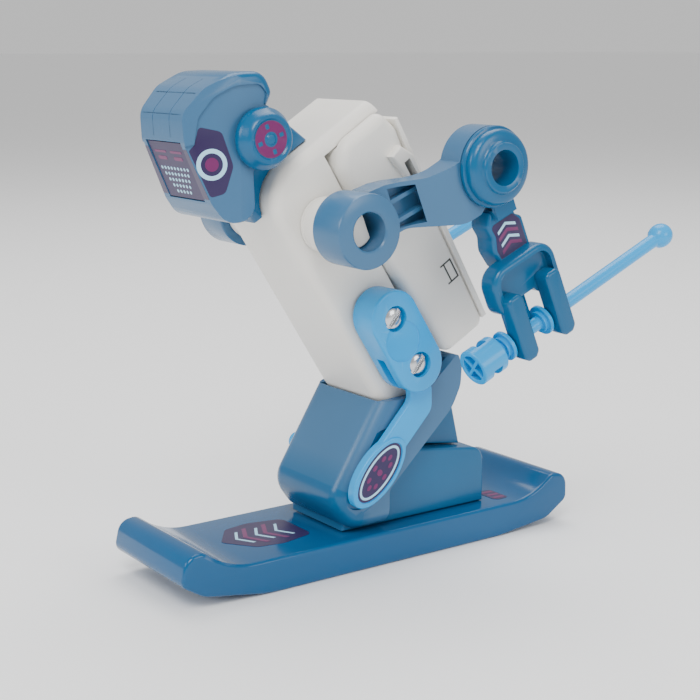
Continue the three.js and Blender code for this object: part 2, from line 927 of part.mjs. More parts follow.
// Thin face plate let into the front of the head.
function visorBlock(grow) {
  const side = outline([
    [-65.6, 129.2 + grow],
    [-66, 128.6 + grow],
    [-57.8, 113.2 - grow],
    [-55.7 + grow, 114.2 - grow],
    [-62.6 + grow, 129.6 + grow],
  ]);
  return prism(side, -9.6 - grow, 9.6 + grow);
}

function faceVisor() {
  const trim = prism(
    outline([[-64.7, 130.6], [-56.6, 112.2], [-50, 112.2], [-50, 130.6]]),
    -20,
    20,
  );
  return visorBlock(0).intersect(trim);
}

function earDisc() {
  const x0 = HEAD_HALF_WIDTH + GAP;
  return turned([
    [0, 1],
    [2, 1],
    [2, x0],
    [8.5, x0],
    [8.7, x0 + 0.5],
    [8.6, x0 + 1.8],
    [7.2, x0 + 4.4],
    [6.6, x0 + 5.2],
    [5.8, x0 + 5.2],
    [5.4, x0 + 4.8],
    [1.6, x0 + 4.8],
    [0, x0 + 5.2],
  ]);
}

// ---------------------------------------------------------------- assembly

function localOf(y, z) {
  const dy = y - HIP.y;
  const dz = z - HIP.z;
  const c = Math.cos(BODY_LEAN * RAD);
  const s = Math.sin(BODY_LEAN * RAD);
  return { y: dy * c + dz * s, z: dz * c - dy * s };
}

function worldOf(y, z) {
  const c = Math.cos(BODY_LEAN * RAD);
  const s = Math.sin(BODY_LEAN * RAD);
  return { y: HIP.y + y * c - z * s, z: HIP.z + y * s + z * c };
}

const robot = new THREE.Group();
robot.name = 'ski_robot';

robot.add(piece('ski_board', skiBoard(), BLUE));
robot.add(piece('foot_block', footBlock(), BLUE));
robot.add(piece('leg_shell', legShell(), BLUE));
robot.add(piece('rear_strut', rearStrut(), BLUE));

const hip = frameAt(HIP.y, HIP.z);
hip.add(piece('hip_pin', rod(HIP_PIN_R, -12.6, 12.6), STEEL, 0.3, 0.9));
robot.add(hip);

const body = frameAt(HIP.y, HIP.z, BODY_LEAN);
body.add(piece('front_shell', frontShell(), SHELL, 0.4));
body.add(piece('battery_box', batteryBox(), SHELL, 0.42));
body.add(piece('battery_door', batteryDoor(), SHELL, 0.42));

const cellZ = CELL_BOTTOM + CELL_LENGTH / 2;
for (const [name, x] of [['battery_left', CELL_SPACING / 2], ['battery_right', -CELL_SPACING / 2]]) {
  const cell = turned([
    [0, -CELL_LENGTH / 2],
    [CELL_R, -CELL_LENGTH / 2],
    [CELL_R, CELL_LENGTH / 2 - 1],
    [1.9, CELL_LENGTH / 2 - 1],
    [1.9, CELL_LENGTH / 2],
    [0, CELL_LENGTH / 2],
  ], COARSE).rotate([0, -90, 0]);
  const mesh = piece(name, cell, CELL_GREEN, 0.35, 0.2);
  mesh.position.set(x, CELL_Y, cellZ);
  body.add(mesh);
}
const contactHalf = 11.6;
const contactLow = CELL_BOTTOM - 1.6;
const contactHigh = CELL_BOTTOM + CELL_LENGTH + 0.6;
for (const [name, z] of [['contact_lower', contactLow], ['contact_upper', contactHigh]]) {
  const strip = block(-contactHalf, contactHalf, CELL_Y - 4.5, CELL_Y + 4.5, z, z + 1);
  body.add(piece(name, strip, STEEL, 0.3, 0.9));
}

body.add(piece('switch_knob', switchKnob(), SWITCH_GREY, 0.5));

const pitchSum = (GEAR_MODULE * (CRANK_TEETH + PINION_TEETH)) / 2 + 0.15;
const motor = new THREE.Group();
motor.position.set(0, CRANK_AXIS.y, CRANK_AXIS.z + pitchSum);
motor.add(piece('motor_can', motorCan(), STEEL, 0.35, 0.85));
motor.add(piece('motor_pinion', gear(PINION_TEETH, GEAR_X0, GEAR_X1, 1, 0.5).add(rod(1.05, 4.6, GEAR_X1)), BRASS, 0.3, 0.9));
body.add(motor);

const crank = new THREE.Group();
crank.position.set(0, CRANK_AXIS.y, CRANK_AXIS.z);
crank.add(piece('crank_gear', gear(CRANK_TEETH, GEAR_X0, GEAR_X1, AXLE_R + GAP, 0), GEAR_WHITE, 0.5));
crank.add(piece('crank_axle', crankAxle(), STEEL, 0.3, 0.9));
const sides = [['left', (s) => s, CRANK_R, CRANK_X1], ['right', mirrored, CRANK_R - 1, CRANK_X1 - 1.2]];
for (const [side, flip, radius, x1] of sides) {
  crank.add(piece(`crank_${side}`, flip(crankCapsule(radius, x1)), SKY));
  crank.add(piece(`axle_screw_${side}`, flip(slottedScrew(x1 - 14, x1)), STEEL, 0.22, 0.95));
  const pin = piece(`crank_pin_${side}`, flip(slottedScrew(x1 - 19.4, x1)), STEEL, 0.22, 0.95);
  pin.position.z = -CRANK_THROW;
  crank.add(pin);
}
body.add(crank);

const pinWorld = worldOf(CRANK_AXIS.y, CRANK_AXIS.z - CRANK_THROW);
const ankle = frameAt(ANKLE.y, ANKLE.z);
const eyeY = pinWorld.y - ANKLE.y;
const eyeZ = pinWorld.z - ANKLE.z;
ankle.add(piece('link_left', ovalLink(eyeY, eyeZ), SKY));
ankle.add(piece('link_right', mirrored(plainLink(eyeY, eyeZ)), SKY));
ankle.add(piece('ankle_pin_left', anklePin(), STEEL, 0.3, 0.9));
ankle.add(piece('ankle_pin_right', mirrored(anklePin()), STEEL, 0.3, 0.9));
robot.add(ankle);

const pivot = localOf(EAR.y, EAR.z);
body.add(piece('neck_bracket', neckBracket(pivot.y, pivot.z), BLUE));
robot.add(body);

robot.add(piece('head_shell', headShell(), BLUE));
robot.add(piece('face_visor', faceVisor(), INDIGO));
const ears = frameAt(EAR.y, EAR.z);
ears.add(piece('ear_disc_left', earDisc(), BLUE));
ears.add(piece('ear_disc_right', mirrored(earDisc()), BLUE));
robot.add(ears);

const shoulderWorld = worldOf(SHOULDER.y, SHOULDER.z);
const shoulder = frameAt(shoulderWorld.y, shoulderWorld.z, ARM_TILT);
shoulder.add(piece('shoulder_shaft', shoulderShaft(), SHELL, 0.4));
const arm = upperArm();
shoulder.add(piece('upper_arm_left', arm, BLUE));
shoulder.add(piece('upper_arm_right', mirrored(arm), BLUE));
robot.add(shoulder);

const elbowY = shoulderWorld.y + ARM_LENGTH * Math.cos(ARM_TILT * RAD);
const elbowZ = shoulderWorld.z + ARM_LENGTH * Math.sin(ARM_TILT * RAD);
const elbow = frameAt(elbowY, elbowZ, FOREARM_TILT);
const lower = forearm();
elbow.add(piece('forearm_left', lower, BLUE));
elbow.add(piece('forearm_right', mirrored(lower), BLUE));
const pole = skiPole();
elbow.add(piece('pole_left', pole, SKY));
elbow.add(piece('pole_right', mirrored(pole), SKY));
robot.add(elbow);

export default robot;
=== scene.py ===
"""Looks of the skiing robot kit: fine meshes, moulded plastics, plain prints and a studio.

Sub-parts are modelled in millimetres in their own frames (x across, y rearward, z up) and then placed.
"""

import json
import math

import bmesh
import bpy
from mathutils import Matrix, Vector


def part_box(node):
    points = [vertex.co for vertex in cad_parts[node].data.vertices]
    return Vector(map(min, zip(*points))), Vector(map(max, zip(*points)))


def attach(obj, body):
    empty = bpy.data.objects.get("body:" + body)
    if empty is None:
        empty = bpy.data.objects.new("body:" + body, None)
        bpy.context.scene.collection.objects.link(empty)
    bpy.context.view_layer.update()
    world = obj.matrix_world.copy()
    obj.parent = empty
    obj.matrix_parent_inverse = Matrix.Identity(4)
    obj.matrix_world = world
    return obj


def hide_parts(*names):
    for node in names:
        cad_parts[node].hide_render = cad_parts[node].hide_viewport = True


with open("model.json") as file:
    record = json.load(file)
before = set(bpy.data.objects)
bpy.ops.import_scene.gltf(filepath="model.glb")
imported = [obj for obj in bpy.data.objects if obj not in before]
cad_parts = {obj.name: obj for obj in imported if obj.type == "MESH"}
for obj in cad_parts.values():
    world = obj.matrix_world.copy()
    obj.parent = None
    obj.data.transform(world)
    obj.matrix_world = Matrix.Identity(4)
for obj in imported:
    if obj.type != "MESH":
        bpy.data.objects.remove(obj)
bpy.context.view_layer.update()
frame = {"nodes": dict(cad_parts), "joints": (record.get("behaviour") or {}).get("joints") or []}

MM = 0.001
GAP = 0.3

RECESS = 0.65  # depth of the flanks of the head under their rib
CRANK_THROW = 17.4  # crank axle to crank pin


# ---------------------------------------------------------------- frames


def joint(name):
    return next(j for j in frame["joints"] if j["name"] == name)


def pivot(name):
    """(y, z) of a joint's axis, in millimetres."""
    return joint(name)["pos_m"][1] / MM, joint(name)["pos_m"][2] / MM


def hundredths(values):
    """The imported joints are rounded, so lengths and tilts worked out from them are taken to a hundredth."""
    return [round(value, 2) for value in values]


def half_width(node):
    """How far a CAD node reaches to the right of the middle plane, in millimetres."""
    return round(-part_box(node)[0].x / MM, 3)


def place(y=0.0, z=0.0, tilt=0.0):
    """Matrix from a sub-part's frame in millimetres to the row frame in metres."""
    move = Matrix.Translation((0, y * MM, z * MM))
    return move @ Matrix.Rotation(math.radians(tilt), 4, "X") @ Matrix.Scale(MM, 4)


def into_frame(point, origin, tilt):
    """(y, z) of a point as seen in a frame with that origin and tilt."""
    c = math.cos(math.radians(tilt))
    s = math.sin(math.radians(tilt))
    dy, dz = point[0] - origin[0], point[1] - origin[1]
    return dy * c + dz * s, dz * c - dy * s


def out_of_frame(point, origin, tilt):
    """(y, z) in the row frame of a point given in a frame with that origin and tilt."""
    c = math.cos(math.radians(tilt))
    s = math.sin(math.radians(tilt))
    return origin[0] + point[0] * c - point[1] * s, origin[1] + point[0] * s + point[1] * c


HIP = pivot("hip_rock")
ANKLE = pivot("link_left_swing")
EAR = pivot("head_nod")
CRANK_SPOT = pivot("crank_turn")
SHOULDER_SPOT = pivot("shoulder_turn")
ELBOW_SPOT = pivot("elbow_left")
up_body = joint("switch_slide")["axis"]
along_pole = joint("pole_left_roll")["axis"]
reach = (ELBOW_SPOT[0] - SHOULDER_SPOT[0], ELBOW_SPOT[1] - SHOULDER_SPOT[1])
BODY_LEAN, FOREARM_TILT, ARM_TILT = hundredths([
    math.degrees(math.atan2(-up_body[1], up_body[2])),
    math.degrees(math.atan2(along_pole[2], along_pole[1])),
    math.degrees(math.atan2(reach[1], reach[0])),
])
(ARM_LENGTH,) = hundredths([math.hypot(*reach)])

WORLD = place()
BODY = place(*HIP, BODY_LEAN)
CRANK = place(*CRANK_SPOT, BODY_LEAN)
LINK = place(*ANKLE)
ARM = place(*SHOULDER_SPOT, ARM_TILT)
FOREARM = place(*ELBOW_SPOT, FOREARM_TILT)
EARS = place(*EAR)

CRANK_AXIS = hundredths(into_frame(CRANK_SPOT, HIP, BODY_LEAN))
SHOULDER = hundredths(into_frame(SHOULDER_SPOT, HIP, BODY_LEAN))
NECK = into_frame(EAR, HIP, BODY_LEAN)
PIN = out_of_frame((CRANK_AXIS[0], CRANK_AXIS[1] - CRANK_THROW), HIP, BODY_LEAN)
POLE_X = joint("pole_left_roll")["pos_m"][0] / MM
POLE_START_Y, POLE_Z = hundredths(into_frame(pivot("pole_left_roll"), ELBOW_SPOT, FOREARM_TILT))
HEAD_HALF_WIDTH = half_width("head_shell")


# ---------------------------------------------------------------- outlines

ARC_ERROR = 0.02  # how far a rounded corner's straight pieces may leave its arc


def corner_points(last, corner, nxt, inset, ccw):
    """Points of one rounded corner of an outline drawn inset by that distance."""
    here = Vector(corner[:2])
    radius = corner[2] if len(corner) > 2 else 0
    back = (Vector(last[:2]) - here).normalized()
    ahead = (Vector(nxt[:2]) - here).normalized()
    half = math.acos(max(-1, min(1, back.dot(ahead)))) / 2
    middle = (back + ahead).normalized()
    cross = back.x * ahead.y - back.y * ahead.x
    convex = (cross < 0) == ccw
    inward = middle if convex else -middle
    moved = here + inward * (inset / math.sin(half))
    if radius == 0:
        return [moved]
    sweep = (math.pi - 2 * half) * (-1 if cross > 0 else 1)
    step = 2 * math.acos(1 - min(0.5, ARC_ERROR / radius))
    count = max(2, math.ceil(abs(sweep) / step))
    size = max(radius - inset if convex else radius + inset, 0.01)
    centre = moved + middle * (size / math.sin(half))
    start = moved + back * (size / math.tan(half)) - centre
    points = []
    for i in range(count + 1):
        turn = Matrix.Rotation(sweep * i / count, 2)
        points.append(turn @ start + centre)
    return points


def outline(corners):
    """Ring function of a closed outline through corners (y, z, radius)."""
    area = 0
    for (a, b) in zip(corners, corners[1:] + corners[:1]):
        area += a[0] * b[1] - b[0] * a[1]

    def ring(inset=0.0):
        points = []
        for i, corner in enumerate(corners):
            nxt = corners[(i + 1) % len(corners)]
            points += corner_points(corners[i - 1], corner, nxt, inset, area > 0)
        return points

    return ring


def oval(radius_a, radius_b, tilt=0.0, y=0.0, z=0.0, count=72):
    turn = Matrix.Rotation(math.radians(tilt), 2)

    def ring(inset=0.0):
        points = []
        for i in range(count):
            a = 2 * math.pi * i / count
            flat = Vector(((radius_a - inset) * math.cos(a), (radius_b - inset) * math.sin(a)))
            points.append(turn @ flat + Vector((y, z)))
        return points

    return ring


def disc(y, z, radius, count=64):
    return oval(radius, radius, 0, y, z, count)


def box_ring(y0, y1, z0, z1, radius=0.0):
    return outline([(y0, z0, radius), (y1, z0, radius), (y1, z1, radius), (y0, z1, radius)])


# ---------------------------------------------------------------- solids


def to_object(bm, name="solid"):
    mesh = bpy.data.meshes.new(name)
    bmesh.ops.recalc_face_normals(bm, faces=bm.faces)
    bm.to_mesh(mesh)
    bm.free()
    obj = bpy.data.objects.new(name, mesh)
    bpy.context.scene.collection.objects.link(obj)
    return obj


def prism(ring, x0, x1, rim=0.0, steps=5):
    """Solid along X between x0 and x1 with rims rounded by that radius."""
    levels = [(x0, 0.0), (x1, 0.0)]
    if rim > 0:
        angles = [math.pi / 2 * i / steps for i in range(steps + 1)]
        low = [(x0 + rim * (1 - math.cos(a)), rim * (1 - math.sin(a))) for a in angles]
        high = [(x1 - rim * (1 - math.cos(a)), rim * (1 - math.sin(a))) for a in reversed(angles)]
        levels = low + high
    bm = bmesh.new()
    loops = []
    for x, inset in levels:
        loops.append([bm.verts.new((x, p[0], p[1])) for p in ring(inset)])
    for a, b in zip(loops, loops[1:]):
        for i in range(len(a)):
            j = (i + 1) % len(a)
            bm.faces.new((a[i], a[j], b[j], b[i]))
    bm.faces.new(loops[0])
    bm.faces.new(loops[-1])
    return to_object(bm)


def across(ring, node, rim, steps):
    """Prism as wide as a CAD node."""
    half = half_width(node)
    return prism(ring, -half, half, rim, steps)


def column(ring, z0, z1):
    """Solid up along Z whose outline is given as (x, y)."""
    bm = bmesh.new()
    low = [bm.verts.new((p[0], p[1], z0)) for p in ring(0)]
    high = [bm.verts.new((p[0], p[1], z1)) for p in ring(0)]
    for i in range(len(low)):
        j = (i + 1) % len(low)
        bm.faces.new((low[i], low[j], high[j], high[i]))
    bm.faces.new(low)
    bm.faces.new(high)
    return to_object(bm)


def turned(profile, sides=72):
    """Solid turned about X from (radius, x) points; a profile off the axis closes on itself."""
    bm = bmesh.new()
    loops = []
    for radius, x in profile:
        if radius == 0:
            loops.append([bm.verts.new((x, 0, 0))])
            continue
        angles = [2 * math.pi * i / sides for i in range(sides)]
        loops.append([bm.verts.new((x, radius * math.cos(a), radius * math.sin(a))) for a in angles])
    pairs = list(zip(loops, loops[1:]))
    if profile[0][0] > 0:
        pairs.append((loops[-1], loops[0]))
    for a, b in pairs:
        for i in range(sides):
            j = (i + 1) % sides
            corners = [a[i % len(a)], a[j % len(a)], b[j % len(b)], b[i % len(b)]]
            kept = list(dict.fromkeys(corners))
            if len(kept) > 2:
                bm.faces.new(kept)
    return to_object(bm)


def rod(radius, x0, x1, y=0.0, z=0.0, sides=48):
    return prism(disc(y, z, radius, sides), x0, x1)


def block(x0, x1, y0, y1, z0, z1):
    return prism(box_ring(y0, y1, z0, z1), x0, x1)


def bake(obj):
    """Applies an object's modifiers."""
    graph = bpy.context.evaluated_depsgraph_get()
    mesh = bpy.data.meshes.new_from_object(obj.evaluated_get(graph))
    obj.modifiers.clear()
    obj.data = mesh
    return obj


def combine(obj, others, operation):
    for other in others:
        mod = obj.modifiers.new("boolean", "BOOLEAN")
        mod.object = other
        mod.operation = operation
        mod.solver = "MANIFOLD"
        bake(obj)
        bpy.data.objects.remove(other)
    return obj


def cut(obj, *others):
    return combine(obj, others, "DIFFERENCE")


def join(obj, *others):
    return combine(obj, others, "UNION")


def common(obj, *others):
    return combine(obj, others, "INTERSECT")


def shift(obj, x=0.0, y=0.0, z=0.0):
    obj.data.transform(Matrix.Translation((x, y, z)))
    return obj


def spin(obj, degrees, axis):
    obj.data.transform(Matrix.Rotation(math.radians(degrees), 4, axis))
    return obj


def mirror_of(obj):
    twin = obj.copy()
    twin.data = obj.data.copy()
    twin.data.transform(Matrix.Scale(-1, 4, (1, 0, 0)))
    twin.data.flip_normals()
    bpy.context.scene.collection.objects.link(twin)
    return twin


# ---------------------------------------------------------------- materials


def plastic(name, colour, roughness=0.24, grain=0.5, metal=0.0, edge_highlight=0.12):
    """Moulded plastic or metal: slight colour drift, a painted highlight that lightens convex edges, mottled
    gloss and a fine surface grain.
    """
    mat = bpy.data.materials.new(name)
    mat.use_nodes = True
    tree = mat.node_tree
    shader = tree.nodes["Principled BSDF"]
    coords = tree.nodes.new("ShaderNodeTexCoord")

    drift = tree.nodes.new("ShaderNodeTexNoise")
    drift.inputs["Scale"].default_value = 28
    drift.inputs["Detail"].default_value = 3
    tree.links.new(coords.outputs["Object"], drift.inputs["Vector"])
    ramp = tree.nodes.new("ShaderNodeMapRange")
    ramp.inputs["From Min"].default_value = 0.3
    ramp.inputs["From Max"].default_value = 0.7
    ramp.inputs["To Min"].default_value = 0.955
    ramp.inputs["To Max"].default_value = 1.045
    tree.links.new(drift.outputs["Fac"], ramp.inputs["Value"])
    tone = tree.nodes.new("ShaderNodeHueSaturation")
    tone.inputs["Color"].default_value = (*colour, 1)
    tree.links.new(ramp.outputs["Result"], tone.inputs["Value"])

    # Painted highlight: convex edges, found by Pointiness, are mixed towards a lighter colour
    geometry = tree.nodes.new("ShaderNodeNewGeometry")
    edge = tree.nodes.new("ShaderNodeMapRange")
    edge.inputs["From Min"].default_value = 0.56
    edge.inputs["From Max"].default_value = 0.7
    edge.inputs["To Max"].default_value = edge_highlight
    tree.links.new(geometry.outputs["Pointiness"], edge.inputs["Value"])
    highlighted = tree.nodes.new("ShaderNodeMix")
    highlighted.data_type = "RGBA"
    highlighted.inputs["B"].default_value = (*[min(1, 0.35 + 0.75 * c) for c in colour], 1)
    tree.links.new(edge.outputs["Result"], highlighted.inputs["Factor"])
    tree.links.new(tone.outputs["Color"], highlighted.inputs["A"])
    tree.links.new(highlighted.outputs["Result"], shader.inputs["Base Color"])

    smudge = tree.nodes.new("ShaderNodeTexNoise")
    smudge.inputs["Scale"].default_value = 75
    smudge.inputs["Detail"].default_value = 5
    tree.links.new(coords.outputs["Object"], smudge.inputs["Vector"])
    gloss = tree.nodes.new("ShaderNodeMapRange")
    gloss.inputs["To Min"].default_value = roughness * 0.82
    gloss.inputs["To Max"].default_value = roughness * 1.25
    tree.links.new(smudge.outputs["Fac"], gloss.inputs["Value"])
    tree.links.new(gloss.outputs["Result"], shader.inputs["Roughness"])

    fine = tree.nodes.new("ShaderNodeTexNoise")
    fine.inputs["Scale"].default_value = 2600
    fine.inputs["Detail"].default_value = 2
    tree.links.new(coords.outputs["Object"], fine.inputs["Vector"])
    bump = tree.nodes.new("ShaderNodeBump")
    bump.inputs["Strength"].default_value = 0.035 * grain
    bump.inputs["Distance"].default_value = 0.0002
    tree.links.new(fine.outputs["Fac"], bump.inputs["Height"])
    tree.links.new(bump.outputs["Normal"], shader.inputs["Normal"])

    shader.inputs["Metallic"].default_value = metal
    shader.inputs["Specular IOR Level"].default_value = 0.4
    return mat


def srgb(text):
    """Linear colour from a hex code."""
    parts = [int(text[i : i + 2], 16) / 255 for i in (0, 2, 4)]
    return tuple(c / 12.92 if c <= 0.04045 else ((c + 0.055) / 1.055) ** 2.4 for c in parts)


BLUE = plastic("blue plastic", (0.0, 0.095, 0.225), 0.24)
DEEP_BLUE = plastic("deep blue deck", (0.0, 0.08, 0.21), 0.13)
SKY = plastic("sky plastic", (0.0, 0.31, 0.69), 0.24)
SHELL = plastic("white shell plastic", srgb("eae7e0"), 0.36, grain=1.0)
STEEL = plastic("plated steel", srgb("c9cbce"), 0.2, metal=1.0, edge_highlight=0.4)
BRASS = plastic("brass", srgb("d0a24f"), 0.28, metal=1.0, edge_highlight=0.3)
GEAR = plastic("white gear plastic", srgb("efeee8"), 0.5, grain=1.0)
CELL = plastic("cell wrap", srgb("3f8f5c"), 0.3)
DARK = plastic("dark switch plastic", srgb("26262a"), 0.45)
INK_INDIGO = plastic("indigo ink", (0.016, 0.004, 0.06), 0.3)
INK_MAGENTA = plastic("magenta ink", (0.13, 0.001, 0.085), 0.34)
INK_PALE = plastic("pale blue ink", srgb("a6d8f2"), 0.34)
# Painted shade: dark grey for the shadow that lies in seams
SEAM_SHADE = plastic("seam shadow", srgb("4a4a46"), 0.6)


def finish(obj, name, frame_matrix, body, material, nodes=(), bevel=0.25, angle=32):
    """Places a sub-part, rounds its small edges, ties it to its body and hides the CAD nodes it stands in
    for.
    """
    obj.data.transform(frame_matrix)
    obj.name = name
    obj.data.name = name
    obj.data.materials.clear()
    obj.data.materials.append(material)
    for face in obj.data.polygons:
        face.use_smooth = True
        face.material_index = 0
    obj.data.set_sharp_from_angle(angle=math.radians(angle))
    if bevel > 0:
        mod = obj.modifiers.new("edges", "BEVEL")
        mod.width = bevel * MM
        mod.segments = 3
        mod.limit_method = "ANGLE"
        mod.angle_limit = math.radians(angle)
        mod.harden_normals = True
        mod.use_clamp_overlap = True
    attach(obj, body)
    if nodes:
        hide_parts(*nodes)
    return obj


# ---------------------------------------------------------------- ski and leg


def ski_board():
    side = outline([
        (-45, 0, 40), (-66, 3.6, 8), (-73.4, 8.2, 3), (-71.5, 16.4, 4.5), (-65.8, 16.9, 3.5),
        (-58, 10.4, 24), (0, 10.5), (57, 10.6, 24), (66, 17.2, 3.5), (72.4, 16.2, 4.5),
        (72.6, 7.6, 3), (64, 2.2, 8), (44, 0, 40),
    ])
    return across(side, "ski_board", 1.1, 6)


def foot_ring(grow):
    return outline([
        (-14 - grow, 10.9 - grow), (41.6 + grow, 10.9 - grow), (41.6 + grow, 28.7 + grow, 5),
        (-8.6 - grow, 35.6 + grow, 3), (-8.6 - grow, 20 + grow, 6), (-14 - grow, 14.4 + grow),
    ])


def leg_shell():
    rounded = across(
        outline([(-13.4, 11.5, 7.4), (50, 11.5, 8), (50, 90, 8), (22, 90, 8), (-20.6, 21.6, 8.2)]),
        "leg_shell", 6, 10,
    )
    kept = prism(
        outline([
            (-30, 0), (0, 0), (0, 22.9, 3), (24.1, 45.3, 14), (27.4, 52, 8), (27.8, 58, 5),
            (26.2, 62.4, 0.8), (13.4, 51.2, 5), (-2, 50.3), (-30, 50.3),
        ]),
        -20, 20,
    )
    cradle = prism(disc(*HIP, 11.4, 96), -15.5, 15.5)
    rear = common(
        prism(disc(*HIP, 17.2, 96), -15.5, 15.5),
        block(-15.5, 15.5, HIP[0] + 3, 40, 30, 80),
    )
    foot_room = prism(foot_ring(GAP), -14.3, 14.3)
    lug = prism(
        outline([(3.5, 43), (12, 43), (HIP[0] + 4.6, HIP[1] + 4.6, 4.5), (HIP[0] - 4.6, HIP[1] + 4.6, 4.5)]),
        -4.5, 4.5,
    )
    leg = cut(common(rounded, kept), cradle, rear, foot_room)
    # Shallow crescent hollow that the oval plate sits in
    bowl = prism(oval(14.2, 8.4, 46.7, ANKLE[0] + 0.6, ANKLE[1] + 0.2), 18.35, 21, 0.5)
    return join(cut(leg, bowl), lug)


def rear_strut():
    return across(
        outline([(13.2, 33.3), (34.6, 30.2), (30.9, 45.6, 3), (29.6, 50.6), (28.1, 50.6), (24.9, 45.2, 12)]),
        "rear_strut", 0.5, 3,
    )


foot_block = across(foot_ring(0), "foot_block", 0.8, 4)
finish(ski_board(), "ski_board_look", WORLD, "base", DEEP_BLUE, ["ski_board"], 0)
finish(foot_block, "foot_block_look", WORLD, "base", BLUE, ["foot_block"], 0.2)
finish(leg_shell(), "leg_shell_look", WORLD, "base", BLUE, ["leg_shell"], 0.3)
finish(rear_strut(), "rear_strut_look", WORLD, "base", BLUE, ["rear_strut"], 0)


# ---------------------------------------------------------------- body


def front_shell():
    outer = across(
        outline([(-10.9, -10.9, 10.89), (44, -10.9, 9), (44, 77, 9), (-10.9, 77, 12)]),
        "front_shell", 3.4, 8,
    )
    kept = prism(
        outline([(-20, -20), (12, -20), (12, 72.7), (34.6, 73.1), (33.6, 78), (-20, 78)]),
        -16, 16,
    )
    cavity = common(
        prism(
            outline([(-9.1, -9.1, 9), (30, -9.1, 7), (30, 70.4, 7), (-9.1, 70.4, 10)]),
            -13.2, 13.2, 1.5, 4,
        ),
        block(-14, 14, -20, 20, -20, 71),
    )
    shell = cut(common(outer, kept), cavity)
    slot = cut(block(-5.2, 5.2, -12, 13, -12, 5.5), block(-6, 6, -20, -8.4, -3, 20))
    return cut(
        shell,
        rod(3.3, -20, 20, *CRANK_AXIS),
        rod(3.3, -20, 20, *SHOULDER),
        slot,
    )


def battery_box():
    outer = across(
        outline([
            (15.8, -3.2, 3.4), (33, -4, 3.2), (35.1, 60, 12), (35.9, 66.5, 3.2), (33.4, 73.8, 3.2),
            (12.5, 73.6, 8), (12.4, 31.5, 20),
        ]),
        "battery_box", 3.1, 7,
    )
    hump = prism(outline([(27.8, 62), (31.4, 45.4), (34.6, 45.4), (35.2, 58), (32.4, 63)]), 17, 21.4, 1, 4)
    box = join(outer, hump)
    return cut(
        box,
        block(-15.4, 15.4, 10, 40, 72.3, 80),
        prism(outline([(32.4, -6), (45, -6), (45, 70), (36, 70), (35, 60)]), -30, 30),
        block(-13.2, 13.2, 21, 45, 5.6, 54.9),
        block(-13.2, 13.2, 0, 18.6, 2, 66),
        block(12, 17.6, 28.6, 33.4, 46, 60),
        block(17, 24, 30.8, 33.2, 47.4, 58),
    )


def battery_door():
    side = outline([(32.9, -2), (34.7, -2), (37.2, 60.2, 4), (37.5, 69.2), (36.2, 69.2), (35.4, 60.4, 2)])
    plate = across(side, "battery_door", 0.3, 3)
    ribs = [block(s * 9 - 1, s * 9 + 1, 33, 34.6, 8, 16) for s in (-1, 1)]
    return join(plate, *ribs)


def neck_bracket():
    y, z = NECK
    side = outline([
        (13, 77.3), (8.9, 87.6, 2), (y + 9.5, z + 7, 6), (y - 6.5, z + 6.5, 5.5), (y - 7, 83, 5),
        (-14.6, 76.4, 4), (-14.2, 64.6, 1), (-11.25, 61.4), (-11.25, 77.3, 12),
    ])
    return cut(
        across(side, "neck_bracket", 0.7, 4),
        block(-12, 12, -20, -8, 55, 67.5),
        rod(2.3, -12, 12, y, z),
    )


finish(front_shell(), "front_shell_look", BODY, "torso", SHELL, ["front_shell"], 0.3)
finish(battery_box(), "battery_box_look", BODY, "torso", SHELL, ["battery_box"], 0.25)
finish(battery_door(), "battery_door_look", BODY, "door", SHELL, ["battery_door"], 0.1)
finish(neck_bracket(), "neck_bracket_look", BODY, "torso", BLUE, ["neck_bracket"], 0.25)

# Painted shade at the snap latch on the left side of the battery box: a narrow dark loop with two short tabs
# stands in for the shadow in the seam around the latch
latch = cut(
    prism(box_ring(28.2, 31.6, 15.6, 22.4), 18.96, 19.06),
    prism(box_ring(28.7, 31.1, 16.1, 21.9), 18, 20),
)
tabs = [prism(box_ring(27, 28.4, z, z + 0.5), 18.96, 19.06) for z in (15.6, 21.9)]
finish(join(latch, *tabs), "latch_line", BODY, "torso", SEAM_SHADE, (), 0)


# ---------------------------------------------------------------- cranks and links


def crank_capsule(radius, x1):
    low = -CRANK_THROW
    ring = outline([
        (-radius, low - radius, radius - 0.01), (radius, low - radius, radius - 0.01),
        (radius, radius, radius - 0.01), (-radius, radius, radius - 0.01),
    ])
    capsule = prism(ring, 15.7, x1, 0.8, 5)
    slot = block(19.35, 22.85, -20, 20, low - 20, low + 7.5)
    dish_mid = prism(disc(-1.4, low / 2 + 1.4, 6.2), x1 - 0.35, x1 + 1, 0.25, 3)
    return cut(
        capsule,
        slot,
        rod(3.9, x1 - 2.2, x1 + 1, 0, 0),
        rod(3.9, x1 - 2.2, x1 + 1, 0, low),
        rod(1.8, 14, x1 + 1, 0, 0),
        rod(1.8, 17.1, x1 + 1, 0, low),
        dish_mid,
    )


def slotted_screw(length, x1, z):
    seat = x1 - 2.2 + GAP / 2
    screw = turned([
        (0, seat - length), (1.5, seat - length), (1.5, seat), (3.3, seat), (3.3, seat + 0.6),
        (3.1, seat + 1), (2.6, seat + 1.3), (1.6, seat + 1.6), (0, seat + 1.7),
    ], 48)
    groove = spin(block(seat + 0.5, seat + 3, -5, 5, -0.75, 0.75), 20, "X")
    return shift(cut(screw, groove), 0, 0, z)


for side, radius, x1 in (("left", 8.5, 26.0), ("right", 7.5, 24.8)):
    parts = [
        (crank_capsule(radius, x1), f"crank_{side}", SKY, "sky_plastic", 0.3),
        (slotted_screw(x1 - 14, x1, 0), f"axle_screw_{side}", STEEL, "steel", 0.1),
        (slotted_screw(x1 - 19.4, x1, -CRANK_THROW), f"crank_pin_{side}", STEEL, "steel", 0.1),
    ]
    for obj, name, material, slot_name, bevel in parts:
        if side == "right":
            twin = mirror_of(obj)
            bpy.data.objects.remove(obj)
            obj = twin
        finish(obj, f"{name}_look", CRANK, "crank", material, [name], bevel)


def link_holes(obj, eye):
    return cut(obj, rod(2.2, 18, 24, *eye), rod(1.8, 18, 21.8))


